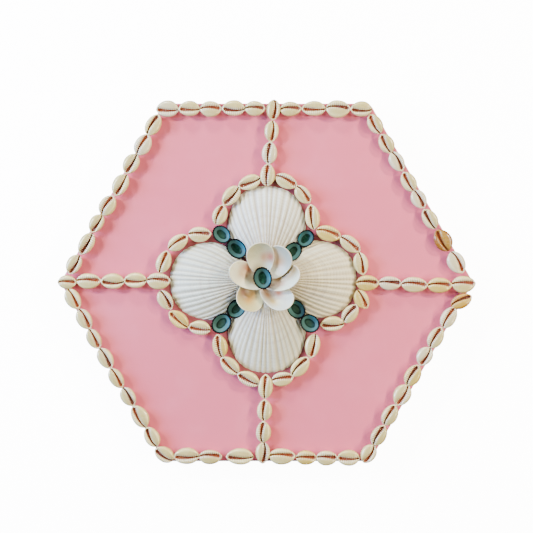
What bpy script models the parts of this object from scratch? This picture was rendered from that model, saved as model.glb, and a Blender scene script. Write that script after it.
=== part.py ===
"""Hexagonal tray: a painted board with cowrie rows, four scallops, nine limpets and a shell flower.

Metres, +Z up. The origin is the middle of the board's underside, and +X runs to a corner.
"""

from math import cos, pi, radians, sin, sqrt

import bmesh
import bpy
import numpy as np
from mathutils import Matrix, Vector
from mathutils.bvhtree import BVHTree

# Board
BOARD_ACROSS_FLATS = 0.2685
BOARD_THICKNESS = 0.012
BOARD_CORNER_CUT = 0.0035
BOARD_EDGE_ROUND = 0.0012

# Glued pieces keep this much air to what carries them
SEAT_GAP = 0.0003
SETTLE_STEP = 0.0005

# Cowries, cut flat below and opening upwards
COWRIE_LENGTH = 0.0168
COWRIE_WIDTH = 0.0115
COWRIE_HEIGHT = 0.0078
COWRIE_TIP_WIDTH = 0.0026
COWRIE_BASE_WIDTH = 0.0069
COWRIE_SIDE_HEIGHT = 0.0044
COWRIE_SLIT_WIDTH = 0.0020
COWRIE_SLIT_DEPTH = 0.0014

# Swell of a cowrie along its length: share of the length, share of the full width
COWRIE_SWELL = ((0.0, COWRIE_TIP_WIDTH / COWRIE_WIDTH), (0.14, 0.72), (0.5, 1.0), (0.86, 0.72))

# Border rows: inset of each centre line from the board's edge
INSET_TOP = 0.0045
INSET_BOTTOM = 0.0038
INSET_LEFT = 0.0024
INSET_RIGHT = 0.0046
CORNER_OVERHANG = 0.0014
CORNER_SLACK = 0.0014
BOTTOM_ROW_BREAK = 0.0038
SINGLE_COWRIE_LENGTH = 0.0195
TURNED_COWRIE_RISE = 0.0030
TURNED_COWRIE_RUN = 0.0115
ROW_END_GAP = 0.0004

# Spokes: overhang at the rim, and the sideways place of each outer end
SPOKE_OVERHANG = 0.0018
SPOKE_CORNER_OVERHANG = 0.0009
SPOKE_TOP_X = 0.0050
SPOKE_LEFT_Y = 0.0008
SPOKE_BOTTOM_X = -0.0037
SPOKE_RIGHT_Y = -0.0018

# Scallops, dome up: how far each beak stays from the board's middle, and their sizes
BEAK_GAP_TOP = 0.0071
BEAK_GAP_LEFT = 0.0074
BEAK_GAP_BOTTOM = 0.0026
BEAK_GAP_RIGHT = 0.0020
SCALLOP_LENGTH = 0.0650
SCALLOP_WIDTH = 0.0576
SCALLOP_HEIGHT = 0.0130
SCALLOP_WALL = 0.0016
SCALLOP_BEAK_WALL = 0.0026
SCALLOP_BEAK_HEIGHT = 0.0014
SCALLOP_ROWS = (0.07, 0.22, 0.46, 0.74, 1.0)
SCALLOP_RIBS = 20
RIB_HEIGHT = 0.0007
MARGIN_WAVE = 0.0005
SCALLOP_LEFT_Y = 0.0010
SCALLOP_RIGHT_Y = 0.0022

# Dome shape: powers of the arch from side to side, of the arch from beak to margin and of its skew,
# and how fast the ribs fade towards beak and margin
DOME_SIDE_POWER = 0.6
DOME_LONG_POWER = 0.85
DOME_SKEW = 0.62
RIB_FADE = 0.3

# Ring of cowries round each scallop's margin, which runs on a little past the neighbour's diagonal
RING_CLEARANCE = 0.0006
RING_RUN_ON = 0.0014
RING_SIDES = {
    "scallop_top": ("ring_top_left", "ring_top_right"),
    "scallop_left": ("ring_left_lower", "ring_left_upper"),
    "scallop_bottom": ("ring_bottom_right", "ring_bottom_left"),
    "scallop_right": ("ring_right_upper", "ring_right_lower"),
}

# Limpets, hollow side up, in pairs on the diagonals
LIMPET_DIAMETER = 0.0139
LIMPET_OVALITY = 1.10
LIMPET_HEIGHT = 0.0046
LIMPET_FOOT = 0.0042
LIMPET_WALL = 0.0011
LIMPET_PITCH = 0.0150
LIMPET_SIDES = 12

# Each pair of limpets: bearing in degrees from the middle of the four scallops, and the distance of the
# inner one as a share of the mean of a scallop's length and width
LIMPET_PAIRS = (
    ("upper_left", 132, 0.491),
    ("upper_right", 43, 0.496),
    ("lower_right", -42.5, 0.545),
    ("lower_left", -133, 0.486),
)

# Flower petals, single cupped valves
PETAL_LENGTH = 0.0288
PETAL_WIDTH = 0.0215
PETAL_CUP_LONG = 0.0046
PETAL_CUP_WIDE = 0.0032
PETAL_WALL = 0.0009
PETAL_TAPER = 0.16
PETAL_RINGS = (0.42, 0.76, 1.0)
PETAL_SIDES = 12
FLOWER_OFF_X = -0.0002
FLOWER_OFF_Y = -0.0004
CENTRE_LIMPET_SCALE = 1.08
CENTRE_LIMPET_BEARING = radians(96)

# Lowest petal first: bearing of its tip, bearing and distance of its middle, length, tilt and roll.
# Angles are in degrees, and the distance and length are shares of PETAL_LENGTH.
PETALS = (
    ("petal_lower_left", -105, -130, 0.54, 0.94, 20, -12),
    ("petal_lower_right", -35, -54, 0.59, 1.01, 22, -20),
    ("petal_right", 17, -3, 0.58, 1.08, 26, -28),
    ("petal_upper_right", 62, 47, 0.66, 0.97, 28, -22),
    ("petal_left", 148, 173, 0.51, 1.04, 22, 14),
    ("petal_top", 94, 94, 0.59, 0.95, 22, 0),
)

PAINT_PINK = (0.730, 0.410, 0.460)
COWRIE_IVORY = (0.720, 0.680, 0.560)
SCALLOP_WHITE = (0.800, 0.800, 0.770)
LIMPET_TEAL = (0.060, 0.220, 0.220)
PETAL_CREAM = (0.780, 0.720, 0.610)

APOTHEM = BOARD_ACROSS_FLATS / 2
CORNER_X = BOARD_ACROSS_FLATS / sqrt(3)
SEAT_Z = BOARD_THICKNESS + SEAT_GAP
COWRIE_BESIDE = COWRIE_WIDTH / 2 + ROW_END_GAP

# Reach of each scallop's margin from the board's middle, and the middle of the four of them
REACH_TOP = BEAK_GAP_TOP + SCALLOP_LENGTH
REACH_LEFT = BEAK_GAP_LEFT + SCALLOP_LENGTH
REACH_BOTTOM = BEAK_GAP_BOTTOM + SCALLOP_LENGTH
REACH_RIGHT = BEAK_GAP_RIGHT + SCALLOP_LENGTH
MIDDLE_X = (REACH_RIGHT - REACH_LEFT) / 2
MIDDLE_Y = (REACH_TOP - REACH_BOTTOM) / 2
FLOWER_X = MIDDLE_X + FLOWER_OFF_X
FLOWER_Y = MIDDLE_Y + FLOWER_OFF_Y


def clear_scene():
    """Remove the objects that the file opened with."""
    for item in list(bpy.data.objects):
        bpy.data.objects.remove(item, do_unlink=True)


def make_collection(name):
    """A collection in the scene."""
    group = bpy.data.collections.new(name)
    bpy.context.scene.collection.children.link(group)
    return group


def make_material(name, color, roughness):
    """One Principled material."""
    material = bpy.data.materials.new(name)
    material.use_nodes = True
    shader = material.node_tree.nodes["Principled BSDF"]
    shader.inputs["Base Color"].default_value = (*color, 1.0)
    shader.inputs["Roughness"].default_value = roughness
    shader.inputs["Metallic"].default_value = 0.0
    material.diffuse_color = (*color, 1.0)
    return material


def add_object(name, data, group, material):
    """An object with one material, in its collection."""
    item = bpy.data.objects.new(name, data)
    group.objects.link(item)
    item.data.materials.append(material)
    return item


def make_mesh(name, points, faces):
    """A smooth-shaded mesh with its faces turned outwards."""
    mesh = bpy.data.meshes.new(name)
    mesh.from_pydata([tuple(point) for point in points], [], faces)
    bm = bmesh.new()
    bm.from_mesh(mesh)
    bmesh.ops.recalc_face_normals(bm, faces=bm.faces)
    bm.to_mesh(mesh)
    bm.free()
    mesh.shade_smooth()
    mesh.set_sharp_from_angle(angle=radians(40))
    return mesh


# Board


def edge_rise(edge):
    """Height difference between an edge's two ends."""
    return abs(edge.verts[0].co.z - edge.verts[1].co.z)


def make_board(group, material):
    """A hexagon with flats across the top and bottom of the plan, its corners and edges eased."""
    bm = bmesh.new()
    bmesh.ops.create_cone(
        bm,
        cap_ends=True,
        segments=6,
        radius1=CORNER_X,
        radius2=CORNER_X,
        depth=BOARD_THICKNESS,
        matrix=Matrix.Translation((0, 0, BOARD_THICKNESS / 2)) @ Matrix.Rotation(radians(30), 4, "Z"),
    )
    upright = [edge for edge in bm.edges if edge_rise(edge) > BOARD_THICKNESS / 2]
    bmesh.ops.bevel(bm, geom=upright, offset=BOARD_CORNER_CUT, segments=3, profile=0.5, affect="EDGES")
    level = [edge for edge in bm.edges if edge_rise(edge) < BOARD_THICKNESS / 2]
    bmesh.ops.bevel(bm, geom=level, offset=BOARD_EDGE_ROUND, segments=2, profile=0.5, affect="EDGES")
    mesh = bpy.data.meshes.new("board")
    bm.to_mesh(mesh)
    bm.free()
    return add_object("board", mesh, group, material)


# Cowries


def cowrie_section(guides):
    """Section across the widest part of a cowrie, standing on its flat base: a guide for the rows."""
    left = [
        (-COWRIE_BASE_WIDTH / 2, 0.0),
        (-COWRIE_WIDTH / 2, COWRIE_SIDE_HEIGHT),
        (-COWRIE_SLIT_WIDTH / 2, COWRIE_HEIGHT),
    ]
    slit_z = COWRIE_HEIGHT - COWRIE_SLIT_DEPTH
    outline = left + [(0.0, slit_z)] + [(-x, z) for x, z in reversed(left)]
    curve = bpy.data.curves.new("cowrie_section", "CURVE")
    spline = curve.splines.new("POLY")
    spline.points.add(len(outline) - 1)
    for point, (x, z) in zip(spline.points, outline):
        point.co = (x, z, 0.0, 1.0)
    spline.use_cyclic_u = True
    guide = bpy.data.objects.new("cowrie_section", curve)
    guides.objects.link(guide)
    guide.hide_render = True
    guide.display_type = "WIRE"
    return guide


def make_row(name, tips, section, group, material):
    """A row of cowries laid tip to tip: the section swells and shrinks along a path through the tips."""
    stations = []
    for start, end in zip(tips, tips[1:]):
        stations += [(start.lerp(end, share), radius) for share, radius in COWRIE_SWELL]
    stations.append((tips[-1], COWRIE_SWELL[0][1]))
    curve = bpy.data.curves.new(name, "CURVE")
    curve.dimensions = "3D"
    curve.twist_mode = "Z_UP"
    curve.bevel_mode = "OBJECT"
    curve.bevel_object = section
    curve.use_fill_caps = True
    spline = curve.splines.new("POLY")
    spline.points.add(len(stations) - 1)
    for point, (place, radius) in zip(spline.points, stations):
        point.co = (place.x, place.y, SEAT_Z, 1.0)
        point.radius = radius
    return add_object(name, curve, group, material)


def split_path(corners):
    """Tips of cowries laid end to end along straight runs, as many as fit best in each run."""
    tips = [Vector(corners[0])]
    for start, end in zip(corners, corners[1:]):
        start, end = Vector(start), Vector(end)
        count = max(1, round((end - start).length / COWRIE_LENGTH))
        tips += [start.lerp(end, (step + 1) / count) for step in range(count)]
    return tips


def board_half_width(y):
    """Half the board's width at y."""
    return CORNER_X - abs(y) / sqrt(3)


def slanted_row_point(x_sign, inset, y):
    """The point at y on the centre line of a row along one of the four slanted sides."""
    return Vector((x_sign * (board_half_width(y) - inset * 2 / sqrt(3)), y))


def spoke_ends():
    """Inner and outer tip of each spoke, from a scallop's margin to the board's rim."""
    rim = APOTHEM + SPOKE_OVERHANG
    corner = CORNER_X + SPOKE_CORNER_OVERHANG
    return {
        "spoke_top": (Vector((0, REACH_TOP + ROW_END_GAP)), Vector((SPOKE_TOP_X, rim))),
        "spoke_left": (
            Vector((-REACH_LEFT - ROW_END_GAP, SCALLOP_LEFT_Y)),
            Vector((-corner, SPOKE_LEFT_Y)),
        ),
        "spoke_bottom": (Vector((0, -REACH_BOTTOM - ROW_END_GAP)), Vector((SPOKE_BOTTOM_X, -rim))),
        "spoke_right": (Vector((REACH_RIGHT + ROW_END_GAP, 0)), Vector((corner, SPOKE_RIGHT_Y))),
    }


def crossing_x(spoke, y):
    """The x at which a spoke's centre line passes y."""
    inner, outer = spoke
    return inner.lerp(outer, (y - inner.y) / (outer.y - inner.y)).x


def border_rows():
    """Corners of each border row's path. Some rows hold a corner, and their neighbours stop beside them."""
    spokes = spoke_ends()
    top_y = APOTHEM - INSET_TOP
    bottom_y = INSET_BOTTOM - APOTHEM
    left_y = spokes["spoke_left"][1].y
    right_y = spokes["spoke_right"][1].y
    top_x = crossing_x(spokes["spoke_top"], top_y)
    bottom_x = crossing_x(spokes["spoke_bottom"], bottom_y)
    top_end = board_half_width(top_y) + CORNER_OVERHANG

    low_left_turn = slanted_row_point(-1, INSET_LEFT, bottom_y + COWRIE_BESIDE + CORNER_SLACK)
    low_left_end = Vector((COWRIE_LENGTH / 2 + CORNER_OVERHANG - board_half_width(bottom_y), bottom_y))
    low_right_end = slanted_row_point(1, INSET_RIGHT, bottom_y - TURNED_COWRIE_RISE)
    low_right_x = slanted_row_point(1, INSET_RIGHT, bottom_y).x - COWRIE_WIDTH / 2
    turned_y = right_y - COWRIE_BESIDE - TURNED_COWRIE_RUN
    turned_tip_y = right_y - COWRIE_BESIDE - TURNED_COWRIE_RISE / 2
    turned_tip = Vector((board_half_width(turned_tip_y) + CORNER_OVERHANG, turned_tip_y))

    single_start = bottom_x - COWRIE_BESIDE - SINGLE_COWRIE_LENGTH
    return {
        "border_top_left": ((top_x - COWRIE_BESIDE, top_y), (-top_end, top_y)),
        "border_top_right": ((top_x + COWRIE_BESIDE, top_y), (top_end - 2 * CORNER_OVERHANG, top_y)),
        "border_upper_left": (
            slanted_row_point(-1, INSET_LEFT, top_y - COWRIE_BESIDE),
            slanted_row_point(-1, INSET_LEFT, left_y + COWRIE_BESIDE),
        ),
        "border_lower_left": (
            slanted_row_point(-1, INSET_LEFT, left_y - COWRIE_BESIDE),
            low_left_turn,
            low_left_end,
        ),
        "border_bottom_left": (
            (low_left_end.x + COWRIE_TIP_WIDTH / 2 + ROW_END_GAP, bottom_y),
            (single_start - BOTTOM_ROW_BREAK, bottom_y),
        ),
        "border_bottom_single": ((single_start, bottom_y), (bottom_x - COWRIE_BESIDE, bottom_y)),
        "border_bottom_right": ((bottom_x + COWRIE_BESIDE, bottom_y), (low_right_x, bottom_y)),
        "border_lower_right": (
            turned_tip,
            slanted_row_point(1, INSET_RIGHT, turned_y),
            low_right_end,
        ),
        "border_upper_right": (
            slanted_row_point(1, INSET_RIGHT, right_y + COWRIE_BESIDE + CORNER_SLACK),
            slanted_row_point(1, INSET_RIGHT, top_y - COWRIE_BESIDE),
        ),
    }


def ring_tips(bearing, reach, shift, side):
    """Tips of the cowries on one side of the ring round a scallop, on an arc about its widest part.

    The arc ends near the diagonal between this scallop and the next, so a longer scallop has more of it.
    """
    half = SCALLOP_WIDTH / 2
    radius = half + RING_CLEARANCE + COWRIE_WIDTH / 2
    start = (COWRIE_BESIDE + COWRIE_TIP_WIDTH / 2) / radius
    end = pi / 2 + (SCALLOP_LENGTH + RING_RUN_ON - half) / radius - 1
    count = max(1, round((end - start) * radius / COWRIE_LENGTH))
    turn = Matrix.Rotation(bearing, 2)
    tips = []
    for step in range(count + 1):
        angle = start + (end - start) * step / count
        along = reach - half + radius * cos(angle)
        tips.append(turn @ Vector((along, shift + side * radius * sin(angle))))
    return tips


def make_cowries(group, guides, material):
    """Every row: the border, the spokes and both sides of the ring round each scallop."""
    section = cowrie_section(guides)
    paths = {**border_rows(), **spoke_ends()}
    rows = [make_row(name, split_path(path), section, group, material) for name, path in paths.items()]
    for scallop, (bearing, reach, shift) in scallop_places().items():
        for side, name in zip((1, -1), RING_SIDES[scallop]):
            tips = ring_tips(bearing, reach, shift, side)
            rows.append(make_row(name, tips, section, group, material))
    return rows


# Scallops


def scallop_places():
    """Bearing, reach of the margin from the board's middle, and sideways shift of each scallop."""
    return {
        "scallop_top": (pi / 2, REACH_TOP, 0.0),
        "scallop_left": (pi, REACH_LEFT, -SCALLOP_LEFT_Y),
        "scallop_bottom": (-pi / 2, REACH_BOTTOM, 0.0),
        "scallop_right": (0.0, REACH_RIGHT, SCALLOP_RIGHT_Y),
    }


def scallop_dome(length, width, height, rib, wave, columns):
    """Points of a fan-shaped dome with its beak at the origin and its margin towards +X.

    The margin is the far half of an ellipse, and straight sides join it to the beak. The height is a
    skew arch from beak to margin, times a flatter arch from side to side.
    """
    half_l, half_w = length / 2, width / 2
    spread = np.arctan2(half_w, half_l)
    swing = np.linspace(-1, 1, columns + 1)
    angle = spread * swing
    share = np.array(SCALLOP_ROWS)[:, None]
    ridge = np.where(np.arange(columns + 1) % 2 == 1, 1.0, -1.0)
    reach = 2 * np.cos(angle) / half_l / ((np.sin(angle) / half_w) ** 2 + (np.cos(angle) / half_l) ** 2)
    reach = reach + wave * ridge
    ridge[[0, -1]] = 0.0
    side_arch = np.cos(np.pi / 2 * swing) ** DOME_SIDE_POWER
    long_arch = np.sin(np.pi * share**DOME_SKEW) ** DOME_LONG_POWER
    rise = height * side_arch * long_arch + rib * ridge * np.sqrt(share) * long_arch**RIB_FADE
    rise[-1] = 0.0
    return np.stack([share * reach * np.cos(angle), share * reach * np.sin(angle), rise], axis=-1)


def fan_faces(columns, bands, first):
    """Faces of a fan of points: point `first` is the tip, then rows of columns + 1 points."""
    row = columns + 1
    faces = [(first, first + 1 + step, first + 2 + step) for step in range(columns)]
    for band in range(bands - 1):
        near = first + 1 + band * row
        for step in range(columns):
            corner = near + step
            faces.append((corner, corner + row, corner + row + 1, corner + 1))
    return faces


def make_scallop(name, bearing, reach, shift, group, material):
    """A ribbed dome over a smooth, smaller one: the wall between them is open to the board below."""
    bands = len(SCALLOP_ROWS)
    outer_columns = 2 * SCALLOP_RIBS
    inner_columns = SCALLOP_RIBS
    outer = scallop_dome(
        SCALLOP_LENGTH, SCALLOP_WIDTH, SCALLOP_HEIGHT, RIB_HEIGHT / 2, MARGIN_WAVE / 2, outer_columns
    )
    inner = scallop_dome(
        SCALLOP_LENGTH - SCALLOP_BEAK_WALL - SCALLOP_WALL,
        SCALLOP_WIDTH - 2 * SCALLOP_WALL,
        SCALLOP_HEIGHT - SCALLOP_WALL,
        0.0,
        0.0,
        inner_columns,
    )
    inner[..., 0] += SCALLOP_BEAK_WALL
    tip_out = np.array([[0.0, 0.0, SCALLOP_BEAK_HEIGHT]])
    tip_in = np.array([[SCALLOP_BEAK_WALL, 0.0, 0.0]])
    points = np.vstack([tip_out, outer.reshape(-1, 3), tip_in, inner.reshape(-1, 3)])
    inner_first = 1 + bands * (outer_columns + 1)
    faces = fan_faces(outer_columns, bands, 0)
    faces += fan_faces(inner_columns, bands, inner_first)

    outer_row = 1 + (bands - 1) * (outer_columns + 1)
    inner_row = inner_first + 1 + (bands - 1) * (inner_columns + 1)
    for step in range(inner_columns):
        left, crest, right = (outer_row + 2 * step + offset for offset in range(3))
        near, far = inner_row + step, inner_row + step + 1
        faces += [(left, crest, near), (crest, far, near), (crest, right, far)]
    for out_step, in_step in ((0, 0), (outer_columns, inner_columns)):
        out_ids = [0] + [1 + band * (outer_columns + 1) + out_step for band in range(bands)]
        in_ids = [0] + [1 + band * (inner_columns + 1) + in_step for band in range(bands)]
        in_ids = [inner_first + index for index in in_ids]
        for band in range(bands):
            faces.append((out_ids[band], out_ids[band + 1], in_ids[band + 1], in_ids[band]))

    item = add_object(name, make_mesh(name, points, faces), group, material)
    axis = Vector((cos(bearing), sin(bearing)))
    beak = axis * (reach - SCALLOP_LENGTH) + Vector((-axis.y, axis.x)) * shift
    item.location = (beak.x, beak.y, SEAT_Z)
    item.rotation_euler = (0.0, 0.0, bearing)
    return item


# Settling loose pieces


def surface_tree(items):
    """One search tree of the finished surfaces of some objects, in world space."""
    bpy.context.view_layer.update()
    graph = bpy.context.evaluated_depsgraph_get()
    points, faces = [], []
    for item in items:
        shown = item.evaluated_get(graph)
        mesh = shown.to_mesh()
        start = len(points)
        points += [item.matrix_world @ vert.co for vert in mesh.vertices]
        faces += [[start + index for index in face.vertices] for face in mesh.polygons]
        shown.to_mesh_clear()
    return BVHTree.FromPolygons(points, faces), points


def settle(item, supports):
    """Lower or raise an object until it rests on what is below it, less the seat gap."""
    tree, points = surface_tree([item])
    ground, ground_points = surface_tree(supports)
    low = [min(point[axis] for point in points) for axis in range(2)]
    high = [max(point[axis] for point in points) for axis in range(2)]
    across = np.arange(low[0], high[0], SETTLE_STEP)
    along = np.arange(low[1], high[1], SETTLE_STEP)
    places = [(x, y) for x in across for y in along]
    places += [(point.x, point.y) for point in points + ground_points]
    clearance = []
    for x, y in places:
        if not (low[0] <= x <= high[0] and low[1] <= y <= high[1]):
            continue
        under = tree.ray_cast(Vector((x, y, -1.0)), Vector((0, 0, 1)))[0]
        over = ground.ray_cast(Vector((x, y, 1.0)), Vector((0, 0, -1)))[0]
        if under and over:
            clearance.append(under.z - over.z)
    item.location.z -= min(clearance) - SEAT_GAP


# Limpets


def limpet_places():
    """Middle and long-axis bearing of each limpet: two in a line between each pair of scallops."""
    places = {}
    for name, degrees, share in LIMPET_PAIRS:
        bearing = radians(degrees)
        for step, label in enumerate(("inner", "outer")):
            radius = share * (SCALLOP_LENGTH + SCALLOP_WIDTH) / 2 + step * LIMPET_PITCH
            x = MIDDLE_X + radius * cos(bearing)
            y = MIDDLE_Y + radius * sin(bearing)
            places["limpet_%s_%s" % (name, label)] = (x, y, bearing)
    return places


def make_limpet(name, x, y, bearing, scale, group, material):
    """A low cup turned from its profile, then drawn out to an oval along its bearing."""
    rim = LIMPET_DIAMETER / 2
    foot = LIMPET_FOOT / 2
    profile = [
        (0.0, LIMPET_WALL),
        (foot, LIMPET_WALL),
        (rim - LIMPET_WALL, LIMPET_HEIGHT),
        (rim, LIMPET_HEIGHT),
        (foot, 0.0),
        (0.0, 0.0),
    ]
    mesh = bpy.data.meshes.new(name)
    edges = [(step, step + 1) for step in range(len(profile) - 1)]
    mesh.from_pydata([(radius, 0.0, height) for radius, height in profile], edges, [])
    item = add_object(name, mesh, group, material)
    screw = item.modifiers.new("turn", "SCREW")
    screw.steps = LIMPET_SIDES
    screw.render_steps = LIMPET_SIDES
    screw.use_merge_vertices = True
    screw.merge_threshold = 0.0001
    screw.use_smooth_shade = True
    item.location = (x, y, SEAT_Z)
    item.rotation_euler = (0.0, 0.0, bearing)
    item.scale = (scale * LIMPET_OVALITY, scale, scale)
    return item


# Petals


def petal_mesh(name, length):
    """A spoon: rings of an egg-shaped disc, long axis along X, dished by the square of each half-width."""
    angle = np.arange(PETAL_SIDES) * 2 * np.pi / PETAL_SIDES
    points = [(0.0, 0.0, 0.0)]
    for share in PETAL_RINGS:
        x = share * np.cos(angle)
        y = share * np.sin(angle)
        z = PETAL_CUP_LONG * x**2 + PETAL_CUP_WIDE * y**2
        points += list(zip(x * length / 2, y * (1 + PETAL_TAPER * x) * PETAL_WIDTH / 2, z))
    faces = []
    for step in range(PETAL_SIDES):
        after = (step + 1) % PETAL_SIDES
        faces.append((0, 1 + step, 1 + after))
        for ring in range(len(PETAL_RINGS) - 1):
            near = 1 + ring * PETAL_SIDES
            far = near + PETAL_SIDES
            faces.append((near + step, far + step, far + after, near + after))
    mesh = bpy.data.meshes.new(name)
    mesh.from_pydata(points, [], faces)
    mesh.shade_smooth()
    return mesh


def make_petal(name, tip, bearing, distance, length, tilt, roll, group, material):
    """A cupped valve whose tip points outwards and up, rolled a little about its long axis."""
    item = add_object(name, petal_mesh(name, length * PETAL_LENGTH), group, material)
    shell = item.modifiers.new("wall", "SOLIDIFY")
    shell.thickness = PETAL_WALL
    shell.offset = 1.0
    lean = Matrix.Rotation(-radians(tilt), 3, "Y") @ Matrix.Rotation(radians(roll), 3, "X")
    item.rotation_euler = (Matrix.Rotation(radians(tip), 3, "Z") @ lean).to_euler()
    x = FLOWER_X + distance * PETAL_LENGTH * cos(radians(bearing))
    y = FLOWER_Y + distance * PETAL_LENGTH * sin(radians(bearing))
    item.location = (x, y, SEAT_Z + SCALLOP_HEIGHT)
    return item


def main():
    """Build the tray from the board up: each shell settles on what was laid before it."""
    clear_scene()
    group = make_collection("shell_tray")
    guides = make_collection("guides")
    paint = make_material("painted_board", PAINT_PINK, 0.55)
    cowrie = make_material("cowrie_shell", COWRIE_IVORY, 0.30)
    scallop = make_material("scallop_shell", SCALLOP_WHITE, 0.50)
    limpet = make_material("limpet_shell", LIMPET_TEAL, 0.20)
    petal = make_material("petal_shell", PETAL_CREAM, 0.35)

    laid = [make_board(group, paint)]
    laid += make_cowries(group, guides, cowrie)
    for name, (bearing, reach, shift) in scallop_places().items():
        laid.append(make_scallop(name, bearing, reach, shift, group, scallop))
    for name, (x, y, bearing) in limpet_places().items():
        item = make_limpet(name, x, y, bearing, 1.0, group, limpet)
        settle(item, laid)
        laid.append(item)
    for name, *pose in PETALS:
        item = make_petal(name, *pose, group, petal)
        settle(item, laid)
        laid.append(item)
    centre = (FLOWER_X, FLOWER_Y, CENTRE_LIMPET_BEARING, CENTRE_LIMPET_SCALE)
    item = make_limpet("limpet_flower_centre", *centre, group, limpet)
    settle(item, laid)


main()
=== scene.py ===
"""Looks of the hexagonal shell tray, in metres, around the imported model.

The board lies flat with its decorated face up. Sizes and places of the shells are in millimetres.
"""

from math import radians

import bpy
import numpy as np
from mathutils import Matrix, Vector


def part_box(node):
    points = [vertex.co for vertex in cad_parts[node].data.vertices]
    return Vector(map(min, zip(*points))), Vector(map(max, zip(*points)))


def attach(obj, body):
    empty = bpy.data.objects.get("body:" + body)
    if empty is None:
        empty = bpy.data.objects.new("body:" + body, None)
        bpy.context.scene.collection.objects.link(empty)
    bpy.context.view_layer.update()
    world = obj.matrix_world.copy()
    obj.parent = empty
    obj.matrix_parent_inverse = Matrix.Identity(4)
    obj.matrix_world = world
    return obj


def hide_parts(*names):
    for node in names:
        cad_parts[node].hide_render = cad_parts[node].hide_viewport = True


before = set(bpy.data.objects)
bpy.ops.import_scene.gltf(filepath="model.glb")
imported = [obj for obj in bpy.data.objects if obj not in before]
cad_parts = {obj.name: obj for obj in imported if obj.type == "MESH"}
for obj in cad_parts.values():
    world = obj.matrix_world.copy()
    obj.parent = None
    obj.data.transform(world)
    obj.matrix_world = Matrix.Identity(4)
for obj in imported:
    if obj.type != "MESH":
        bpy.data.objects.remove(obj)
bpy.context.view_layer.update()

# The board's face, and the height of the shells' seat on it
MM = 0.001
BOARD_TOP = 12.0
SEAT = 12.3

# Cowries, mouth up: heights of the widest line, the tips and the crown, powers and roots of the outline
# and of the bulge along the shell, powers of the arch over each lip, and the most that a shell is turned
COWRIE_WAIST_Z = 4.3
COWRIE_TIP_Z = 4.9
COWRIE_CROWN_Z = 7.6
COWRIE_STRETCH = 1.03
COWRIE_ROWS = 48
COWRIE_TEETH = 12
OUTLINE_POWER = 2.2
OUTLINE_ROOT = 0.66
OUTLINE_SKEW = 0.07
BULGE_POWER = 2.6
BULGE_ROOT = 0.6
ROUND_LIP_POWER = 2.2
FLAT_LIP_POWER = 3.0
COWRIE_ROLL = 5
COWRIE_PITCH = 2

# The slit: depth and half-widths, depth and half-width of the valley that it lies in, and the dip of the
# flat lip. Where it opens and ends is a share of the half-length. The bow of the slit and the lean of the
# shell are shares of its width.
SLIT_DEPTH = 2.0
SLIT_NARROW = 0.54
SLIT_WIDE = 1.3
SLIT_OPENS_AT = -0.55
SLIT_OPENS_OVER = 1.2
SLIT_WIDE_END = 0.88
SLIT_NARROW_END = 0.99
SLIT_VALLEY = 1.1
VALLEY_REACH = 2.0
LIP_DIP = 0.30
SLIT_BOW = (0.06, 0.13)
COWRIE_LEAN = (-0.01, 0.05)

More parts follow.
